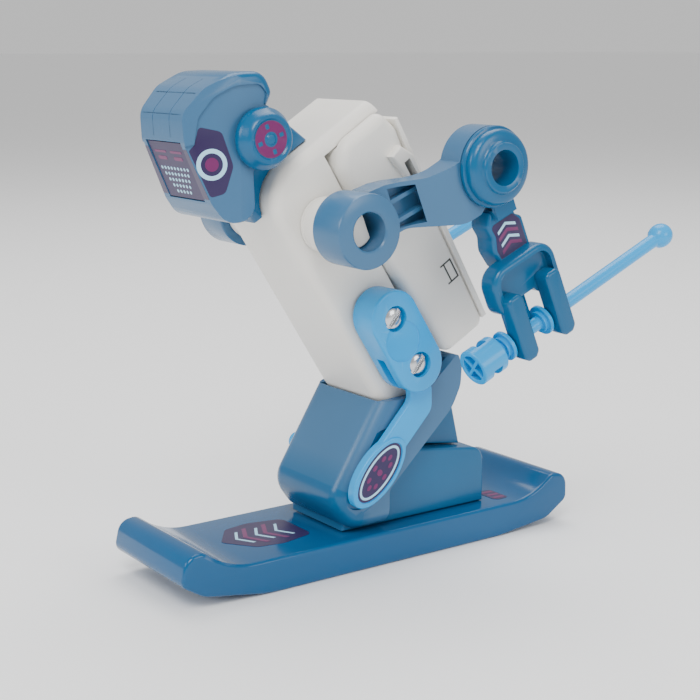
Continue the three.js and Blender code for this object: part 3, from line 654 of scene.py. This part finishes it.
def oval_link(eye):
    y, z = eye
    bar = prism(outline([
        (y - 2.6, z + 1), (y - 0.4, z - 11.6, 4), (0.4, 8), (9.6, 5.6),
        (y + 7.6, z - 15.4, 5), (y + 7.4, z - 8.5, 4), (y + 3.4, z + 1),
    ]), 19.7, 22.5, 0.5, 4)
    plate = prism(oval(12.5, 6.5, 46.7), 19.7, 23.1, 0.6, 4)
    dish = prism(oval(10.75, 5.2, 46.7), 22.7, 24)
    return link_holes(cut(join(bar, rod(5.4, 19.7, 22.5, y, z), plate), dish), eye)


def plain_link(eye):
    y, z = eye
    bar = prism(outline([
        (y - 1.4, z), (y + 1, z - 12, 4), (-0.6, 2.6), (2.4, -1.2),
        (y + 6.2, z - 15.6, 5), (y + 6, z - 8.5, 4), (y + 2.8, z),
    ]), 19.7, 22.5, 0.4, 3)
    return link_holes(join(bar, rod(5.4, 19.7, 22.5, y, z), rod(2.9, 19.7, 22.5)), eye)


eye = (PIN[0] - ANKLE[0], PIN[1] - ANKLE[1])
finish(oval_link(eye), "link_left_look", LINK, "left_link", SKY, ["link_left"], 0.15)
right_link = plain_link(eye)
twin = mirror_of(right_link)
bpy.data.objects.remove(right_link)
finish(twin, "link_right_look", LINK, "right_link", SKY, ["link_right"], 0.15)


# ---------------------------------------------------------------- arms


def shoulder_shaft():
    half = cut(
        turned([
            (0, 0), (3, 0), (3, 15.3), (8, 15.3), (8, 16.1), (7.6, 16.3), (7.6, 16.7), (8, 16.9),
            (8, 24.7), (5.1, 24.7), (5.1, 31.6), (4.7, 32), (0, 32),
        ]),
        block(24.7, 40, 3, 9, -9, 9),
    )
    return join(half, mirror_of(half))


def upper_arm():
    hub = turned([
        (5.45, 25), (10.2, 25), (10.6, 25.4), (10.6, 37.2),
        (10.37, 37.77), (9.8, 38), (5.9, 38), (5.45, 37.6),
    ])
    drum = turned([(6.7, 32.2), (11.4, 32.2), (11.75, 32.6), (11.75, 41.3), (6.7, 41.3)])
    shift(drum, 0, ARM_LENGTH)
    side = prism(outline([
        (6, -6.5), (14, -6.2, 10), (29, -11.6, 8), (ARM_LENGTH - 8, -11.4), (ARM_LENGTH - 4, -9),
        (ARM_LENGTH - 4, 9), (33.4, 6, 3), (24, 5.2, 12), (11.4, 8.4, 6), (4, 9),
    ]), 20, 50)
    plan = column(outline([
        (26, 4), (34, 4), (34, 16, 6), (41.1, 31, 8),
        (41.1, ARM_LENGTH), (32.2, ARM_LENGTH), (32.2, 28, 4), (26, 16, 4),
    ]), -15, 15)
    channel = prism(outline([(12, -5.2), (23.5, -7.6, 1), (22.5, 4.2, 1), (12, 7)]), 30.6, 36)
    arm = cut(common(side, plan), channel)
    arm = join(arm, *[block(28, 33.2, 10.4, 24, z - 0.6, z + 0.6) for z in (2.6, -3.4)])
    arm = cut(arm, rod(10, 20, 50, 0, 0), rod(10.75, 20, 50, ARM_LENGTH, 0))
    return join(arm, hub, drum)


def pole_room():
    hole = spin(rod(2.45, -40, 40), 90, "Z")
    return shift(hole, POLE_X, 0, POLE_Z)


def forearm():
    cap = turned([
        (5, 32.9), (6.4, 32.9), (6.4, 41.6), (11.5, 41.6), (11.75, 41.85), (11.75, 42.8), (11.5, 43.1),
        (10.9, 43.25), (10.85, 43.6), (10.95, 44.1), (10.8, 44.8), (10.3, 45.6), (9.7, 46.0), (8.4, 46.2),
        (7.7, 46.3), (7.4, 46.6), (7.25, 47.2), (6.9, 47.5), (5.5, 47.5), (5.1, 47.3), (5, 47),
    ], 96)
    blade = prism(outline([
        (-5.4, -12.4), (-7.9, -16, 3), (-7, -20, 3), (-8.2, -24, 4), (-6.4, -31, 2), (4.6, -31),
        (5.6, -27), (5.6, -18.5, 1.5), (3.6, -17, 1), (3.2, -12.4),
    ]), 33.2, 41, 0.9, 4)
    palm = prism(outline([
        (-15.4, -42, 4), (-8, -42, 2), (-6.6, -39.8), (0.2, -39.8), (1.6, -42, 2), (9.8, -42, 2),
        (9.8, -27.2, 6), (-15.4, -27.2, 6),
    ]), 38.6, 45.5, 1.4, 5)
    recess = prism(outline([(-13, -45), (7.6, -45), (7.6, -29.2, 4), (-13, -29.2, 4)]), 43, 50, 0.5, 3)

    def finger(y0, y1):
        return prism(outline([
            (y0, -35.6, 2), (y0, -55.2, 1.8), (y0 + 1.6, -56.8, 1.2),
            (y1 - 1.6, -56.8, 1.2), (y1, -55.2, 1.8), (y1, -35.6, 2),
        ]), 42.6, 48.6, 1.1, 5)

    clip = prism(outline([(-6.3, -54.4, 1.5), (-2, -54.4, 1.5), (-2, -38), (-6.3, -38)]), 36.4, 41, 0.6, 3)
    neck = join(block(38.5, 42.9, -4.6, 3, -15, -12.2), block(41.6, 42.9, -4.6, 3, -12.6, -9))
    hand = cut(palm, recess)
    hand = join(hand, finger(-14.4, -8.4), finger(1.3, 7.3), clip, blade)
    hand = cut(hand, pole_room())
    return join(hand, neck, cap)


def ski_pole():
    pole = turned([
        (0, -12.4), (4, -12.4), (4, -14.0), (4.2, -14.2), (5.3, -14.2), (5.6, -13.9),
        (5.6, -5.2), (5.3, -4.8), (2.15, -4.8), (2.15, -2.6), (3.3, -2.6), (3.4, -2.5),
        (3.4, -1.5), (4.5, -1.5), (4.7, -1.3), (4.7, -0.4), (4.5, -0.2), (2.15, -0.2),
        (2.15, 6.7), (3.4, 6.7), (3.4, 7.9), (2.15, 7.9), (2.15, 13.1), (3.4, 13.1),
        (3.4, 14.2), (4.5, 14.2), (4.7, 14.4), (4.7, 15.3), (4.5, 15.5), (2.15, 15.5),
        (2.15, 22.5), (3.4, 22.5), (3.4, 23.8), (2.15, 23.8), (2.15, 65.6), (2.6, 66.2),
        (3.3, 67), (3.7, 68.2), (3.8, 69.2), (3.7, 70.2),
        (3.3, 71.3), (2.6, 72.2), (1.6, 72.8), (0, 73),
    ], 64)
    ribs = [spin(block(-14.1, -12, -4.3, 4.3, -0.45, 0.45), a, "X") for a in (45, 135)]
    window = spin(block(-10.8, -7.4, -8, 8, -3.6, 3.6), 60, "X")
    web = spin(block(-11, -7, -0.6, 0.6, -3.8, 3.8), 60, "X")
    pole = join(cut(join(pole, *ribs), window), web)
    return shift(spin(pole, 90, "Z"), POLE_X, POLE_START_Y, POLE_Z)


shaft = shoulder_shaft()
finish(shaft, "shoulder_shaft_look", ARM, "arms", SHELL, ["shoulder_shaft"], 0.12)
sided = [
    (upper_arm, "upper_arm", ARM, "arms", "arms", BLUE, "blue_plastic", 0.3),
    (forearm, "forearm", FOREARM, "left_forearm", "right_forearm", BLUE, "blue_plastic", 0.2),
    (ski_pole, "pole", FOREARM, "left_pole", "right_pole", SKY, "sky_plastic", 0.1),
]
for build, name, matrix, left_body, right_body, material, slot_name, bevel in sided:
    left = build()
    right = mirror_of(left)
    finish(left, f"{name}_left_look", matrix, left_body, material, [f"{name}_left"], bevel)
    finish(right, f"{name}_right_look", matrix, right_body, material, [f"{name}_right"], bevel)


# ---------------------------------------------------------------- head


def visor(grow):
    return prism(outline([
        (-65.6, 129.2 + grow), (-66, 128.6 + grow), (-57.8, 113.2 - grow),
        (-55.7 + grow, 114.2 - grow), (-62.6 + grow, 129.6 + grow),
    ]), -9.6 - grow, 9.6 + grow)


def head_corners():
    return [
        (-52.6, 106.9, 6), (-43.6, 107.8, 5), (-44.2, 121.5, 2), (-40.2, 125, 2), (-40.2, 138.4, 1.5),
        (-38, 142.6, 3), (-40.9, 148.6, 5), (-50.5, 148.2, 11), (-58.9, 144.1, 8), (-65.1, 137.4, 5),
        (-64.6, 129.6, 2.4), (-56.9, 112.6, 3),
    ]


def head_shell():
    plan = column(outline([
        (-HEAD_HALF_WIDTH - 1, -30), (-HEAD_HALF_WIDTH - 1, -44, 4), (-11.4, -68, 5),
        (11.4, -68, 5), (HEAD_HALF_WIDTH + 1, -44, 4), (HEAD_HALF_WIDTH + 1, -30),
    ]), 100, 155)
    solid = common(prism(outline(head_corners()), -HEAD_HALF_WIDTH, HEAD_HALF_WIDTH, 2, 6), plan)
    hollow = prism(outline([
        (-30, 100), (-30, 143.6), (-44, 144.6, 5), (-57, 142, 5), (-58.6, 130, 3),
        (-52.8, 115, 3), (-47.4, 111.4), (-47, 100),
    ]), -10.6, 10.6)
    head = cut(solid, hollow, rod(2.3, -20, 20, *EAR), visor(GAP))
    return cut(head, flank_recess(), *[forehead_seam(slab) for slab in SEAM_SLABS])


def flank_recess():
    """Recess of both flanks under the raised rib that follows the crown."""
    panel = prism(outline([
        (-36, 100), (-36, 138.4), (-41, 139.4, 0.6), (-40.2, 142.6, 2), (-42.6, 145.2, 3), (-50.2, 144.8, 9),
        (-56.2, 141.8, 6), (-60.6, 136.4, 4), (-61.9, 129.2), (-68, 128), (-68, 100),
    ]), -20, 20)
    wide = HEAD_HALF_WIDTH - RECESS
    core = column(outline([
        (-wide, -30), (-wide, -48.6), (-11.4 + RECESS, -68),
        (11.4 - RECESS, -68), (wide, -48.6), (wide, -30),
    ]), 95, 155)
    return cut(panel, core)


def forehead_seam(slab):
    """Fine groove in the crown where this slab crosses its skin."""
    ring = outline(head_corners())
    inner = prism(lambda inset: ring(0.22), -30, 30)
    return common(cut(prism(ring, -20, 20), inner), block(*slab))


SEAM_SLABS = [
    (-4.85, -4.6, -70, -52, 131, 146.4),
    (4.6, 4.85, -70, -52, 131, 146.4),
    (-11, 11, -70, -60, 137, 137.25),
    (-11, 11, -70, -52, 142.6, 142.85),
]


def face_visor():
    trim = prism(outline([(-64.7, 130.6), (-56.6, 112.2), (-50, 112.2), (-50, 130.6)]), -20, 20)
    return common(visor(0), trim)


def ear_disc():
    x0 = HEAD_HALF_WIDTH + GAP
    return turned([
        (0, 1), (2, 1), (2, x0), (8.4, x0), (8.65, x0 + 0.3),
        (8.7, x0 + 0.9), (8.6, x0 + 1.8), (8.2, x0 + 2.6),
        (7.3, x0 + 4.1), (6.9, x0 + 4.9), (6.5, x0 + 5.2), (5.7, x0 + 5.2), (5.4, x0 + 4.9), (5.3, x0 + 4.8),
        (1.6, x0 + 4.8), (1.2, x0 + 5.1), (0, x0 + 5.2),
    ], 96)


finish(head_shell(), "head_shell_look", WORLD, "head", BLUE, ["head_shell"], 0.35)
finish(face_visor(), "face_visor_look", WORLD, "head", INK_INDIGO, ["face_visor"], 0.1)
left_ear = ear_disc()
right_ear = mirror_of(left_ear)
finish(left_ear, "ear_disc_left_look", EARS, "head", BLUE, ["ear_disc_left"], 0)
finish(right_ear, "ear_disc_right_look", EARS, "head", BLUE, ["ear_disc_right"], 0)

# ---------------------------------------------------------------- printed patterns

INK = 0.06  # thickness a print stands proud


def gather(pieces):
    """One mesh out of several separate pieces."""
    bm = bmesh.new()
    for piece in pieces:
        bm.from_mesh(piece.data)
        bpy.data.objects.remove(piece)
    return to_object(bm)


def patch(ring, x=0.0, layer=0):
    """A print on a face that looks along X; layers lie on top of each other."""
    return prism(ring, x - 0.05, x + INK + layer * 0.05)


def ring_print(outer, inner, x=0.0, layer=0):
    return cut(patch(outer, x, layer), prism(inner, x - 1, x + 1))


def printed(pieces, name, matrix, body, ink):
    finish(gather(pieces), name, matrix, body, ink, (), 0)


def printed_both(pieces, name, matrix, left_body, right_body, ink):
    left = gather(pieces)
    right = mirror_of(left)
    finish(left, f"{name}_left", matrix, left_body, ink, (), 0)
    finish(right, f"{name}_right", matrix, right_body, ink, (), 0)


def on_head_flank(piece):
    """Moves a print drawn at its own (y, z) on to the slanted flank of the head."""
    shift(piece, 0, 44)
    piece.data.transform(Matrix.Diagonal((1, 1 / 0.9773, 1, 1)))
    spin(piece, -12.22, "Z")
    return shift(piece, HEAD_HALF_WIDTH + 1, -44)


def on_face(piece, foot, top):
    """Leans a print drawn as (height, across) on to the front plane from foot up to top."""
    up = (Vector(top) - Vector(foot)).normalized()
    lean = Matrix(((0, 0, -1, 0), (-up.y, up.x, 0, 0), (up.x, up.y, 0, 0), (0, 0, 0, 1)))
    piece.data.transform(lean)
    return shift(piece, 0, *foot)


def on_visor(piece):
    return on_face(piece, (-56.6, 112.2), (-64.7, 130.6))


def on_brow(piece):
    return on_face(piece, (-56.9, 112.6), (-64.6, 129.6))


# Flank of the head: dark field with a plain roundel
field = outline([
    (-60.4, 133.8, 1), (-61.6, 129), (-63.2, 127.4, 0.6), (-57.4, 114.6, 1),
    (-53.2, 115.6, 2), (-50.8, 123, 3), (-54, 132.4, 2),
])
SPOT = (-56.9, 123.6)
printed_both([on_head_flank(patch(field, -RECESS))], "flank_field", WORLD, "head", "head", INK_INDIGO)
printed_both(
    [on_head_flank(ring_print(disc(*SPOT, 4.3), disc(*SPOT, 3.1), -RECESS, 1))],
    "flank_ring", WORLD, "head", "head", INK_PALE,
)
spot = on_head_flank(patch(disc(*SPOT, 1.9), -RECESS, 1))
printed_both([spot], "flank_spot", WORLD, "head", "head", INK_MAGENTA)

# Front: dark frame beside the visor, then rows of dots and two bars on the visor
strip = [(1.6, 9.95), (16.6, 9.95), (16.6, 11.7), (1.6, 12.9)]
frame_strips = [on_brow(patch(outline([(u, v * side) for u, v in strip]))) for side in (-1, 1)]
printed(frame_strips, "brow_frame", WORLD, "head", INK_INDIGO)
dots = []
for row in range(5):
    for i in range(9 - row):
        across = (i - (8 - row) / 2) * 1.8
        dots.append(on_visor(patch(disc(10.6 - row * 1.8, across, 0.5, 20))))
printed(dots, "visor_dots", WORLD, "head", INK_PALE)
bars = [on_visor(patch(box_ring(13.2, 14.3, side * 4.4 - 2.4, side * 4.4 + 2.4, 0.5))) for side in (-1, 1)]
bars += [on_visor(patch(box_ring(15.4, 16.1, side * 4.4 - 3.2, side * 4.4 + 3.2, 0.3))) for side in (-1, 1)]
printed(bars, "visor_bars", WORLD, "head", INK_MAGENTA)

# Ear dials: ring with four slots
dial_x = HEAD_HALF_WIDTH + GAP + 4.8
dial = ring_print(disc(0, 0, 5.1), disc(0, 0, 2.1), dial_x)
dial_slots = [spin(block(dial_x - 1, dial_x + 1, -0.6, 0.6, 2.9, 4.3), a, "X") for a in (20, 110, 200, 290)]
printed_both([cut(dial, *dial_slots)], "dial_ring", EARS, "head", "head", INK_MAGENTA)

# Oval plate of the left link: dark oval, pale ring and a rosette of dots
PLATE = 46.7
plate_x = 22.7
printed([patch(oval(10.5, 5.0, PLATE), plate_x)], "plate_field", LINK, "left_link", INK_INDIGO)
printed(
    [ring_print(oval(9.7, 4.3, PLATE), oval(8.9, 3.6, PLATE), plate_x, 1)],
    "plate_ring", LINK, "left_link", INK_PALE,
)
petals = [patch(disc(0, 0, 1.0, 24), plate_x, 1)]
for i in range(8):
    angle = math.pi / 4 * i
    u, v = 5.6 * math.cos(angle), 2.3 * math.sin(angle)
    petals.append(spin(patch(oval(1.0, 0.6, 0, u, v, 24), plate_x, 1), PLATE, "X"))
printed(petals, "plate_rosette", LINK, "left_link", INK_MAGENTA)

# Blades of the forearms: dark field with pale and magenta chevrons
blade_field = outline([
    (-6.6, -16.2, 1.2), (-5.8, -20, 2), (-6.9, -24, 2), (-6.2, -26.9),
    (4.3, -26.9), (4.3, -18.9, 1.2), (2.4, -16.2, 1),
])


def chevron(y, z, half, drop, thick):
    return outline([
        (y - half, z - drop), (y, z), (y + half, z - drop), (y + half, z - drop - thick),
        (y, z - thick), (y - half, z - drop - thick),
    ])


printed_both([patch(blade_field, 41)], "blade_field", FOREARM, "left_forearm", "right_forearm", INK_INDIGO)
pale = [patch(chevron(-1.2, z, 3.6, 1.7, 0.9), 41, 1) for z in (-17.2, -21.2)]
magenta = [patch(chevron(-1.2, z, 3.9, 1.7, 1.1), 41, 1) for z in (-19.1, -23.1)]
printed_both(pale, "blade_pale", FOREARM, "left_forearm", "right_forearm", INK_PALE)
printed_both(magenta, "blade_magenta", FOREARM, "left_forearm", "right_forearm", INK_MAGENTA)

# Deck of the ski: drawn as (x, y) with chevrons that point forward
DECK_Z = 10.42


def on_deck(ring, layer=0, z=DECK_Z):
    return column(ring, z - 0.1, z + 0.1 + layer * 0.05)


deck_field = outline([
    (0, -48.4, 2), (9.5, -41.5, 3), (11, -33, 6), (8.5, -21.5, 3),
    (-8.5, -21.5, 3), (-11, -33, 6), (-9.5, -41.5, 3),
])
printed([on_deck(deck_field)], "deck_field", WORLD, "base", INK_INDIGO)
deck_pale = [on_deck(chevron(0, y, 5.4, -3.0, -1.0), 1) for y in (-43.5, -36.5, -29.5)]
deck_magenta = [on_deck(chevron(0, y, 7.2, -3.6, -1.5), 1) for y in (-40.6, -33.6)]
printed(deck_pale, "deck_pale", WORLD, "base", INK_PALE)
printed(deck_magenta, "deck_magenta", WORLD, "base", INK_MAGENTA)
tail_field = box_ring(6, 16, 45.5, 51.5, 2)
printed([on_deck(tail_field, 0, 10.58)], "tail_field", WORLD, "base", INK_INDIGO)
tail_bars = [on_deck(box_ring(x, x + 1.4, 46.4, 50.6, 0.3), 1, 10.58) for x in (7.4, 10.3, 13.2)]
printed(tail_bars, "tail_bars", WORLD, "base", INK_MAGENTA)

# ---------------------------------------------------------------- CAD nodes kept as they are

kept_nodes = {
    "hip_pin": STEEL,
    "ankle_pin_left": STEEL,
    "ankle_pin_right": STEEL,
    "battery_left": CELL,
    "battery_right": CELL,
    "contact_lower": STEEL,
    "contact_upper": STEEL,
    "switch_knob": DARK,
    "motor_can": STEEL,
    "motor_pinion": BRASS,
    "crank_gear": GEAR,
    "crank_axle": STEEL,
}
for node, material in kept_nodes.items():
    obj = frame["nodes"][node]
    for item in obj.material_slots:
        item.material = material

# ---------------------------------------------------------------- studio

floor_mesh = bpy.data.meshes.new("floor")
floor_mesh.from_pydata([(-30, -30, 0), (30, -30, 0), (30, 30, 0), (-30, 30, 0)], [], [(0, 1, 2, 3)])
floor = bpy.data.objects.new("floor", floor_mesh)
bpy.context.scene.collection.objects.link(floor)
floor_mat = bpy.data.materials.new("floor")
floor_mat.use_nodes = True
floor_mat.node_tree.nodes["Principled BSDF"].inputs["Base Color"].default_value = (0.93, 0.93, 0.93, 1)
floor_mat.node_tree.nodes["Principled BSDF"].inputs["Roughness"].default_value = 0.7
floor_mesh.materials.append(floor_mat)

world = bpy.data.worlds.new("studio")
bpy.context.scene.world = world
world.use_nodes = True
world.node_tree.nodes["Background"].inputs["Color"].default_value = (1, 1, 1, 1)
world.node_tree.nodes["Background"].inputs["Strength"].default_value = 0.7

TARGET = Vector((0, 0, 0.075))
for name, spot, size, power in (
    ("key", (0.55, -0.55, 0.9), 0.5, 9),
    ("fill", (0.95, 0.35, 0.4), 0.4, 2.5),
    ("top", (-0.3, 0.3, 1.1), 0.8, 9),
    ("front", (-0.25, -1.0, 0.5), 0.4, 3),
):
    lamp = bpy.data.lights.new(name, "AREA")
    lamp.shape = "SQUARE"
    lamp.size = size
    lamp.energy = power
    lamp_obj = bpy.data.objects.new(name, lamp)
    lamp_obj.location = spot
    lamp_obj.rotation_euler = (TARGET - Vector(spot)).to_track_quat("-Z", "Y").to_euler()
    bpy.context.scene.collection.objects.link(lamp_obj)

AZIMUTH = math.radians(54.5)
ELEVATION = math.radians(11.7)
camera = bpy.data.cameras.new("camera")
camera.sensor_width = 36
camera.lens = 75.34
camera.clip_start = 0.01
camera_obj = bpy.data.objects.new("camera", camera)
camera_obj.location = (0.36022, -0.25823, 0.155)
forward = Vector((
    -math.sin(AZIMUTH) * math.cos(ELEVATION),
    math.cos(AZIMUTH) * math.cos(ELEVATION),
    -math.sin(ELEVATION),
))
camera_obj.rotation_euler = forward.to_track_quat("-Z", "Y").to_euler()
bpy.context.scene.collection.objects.link(camera_obj)
bpy.context.scene.camera = camera_obj
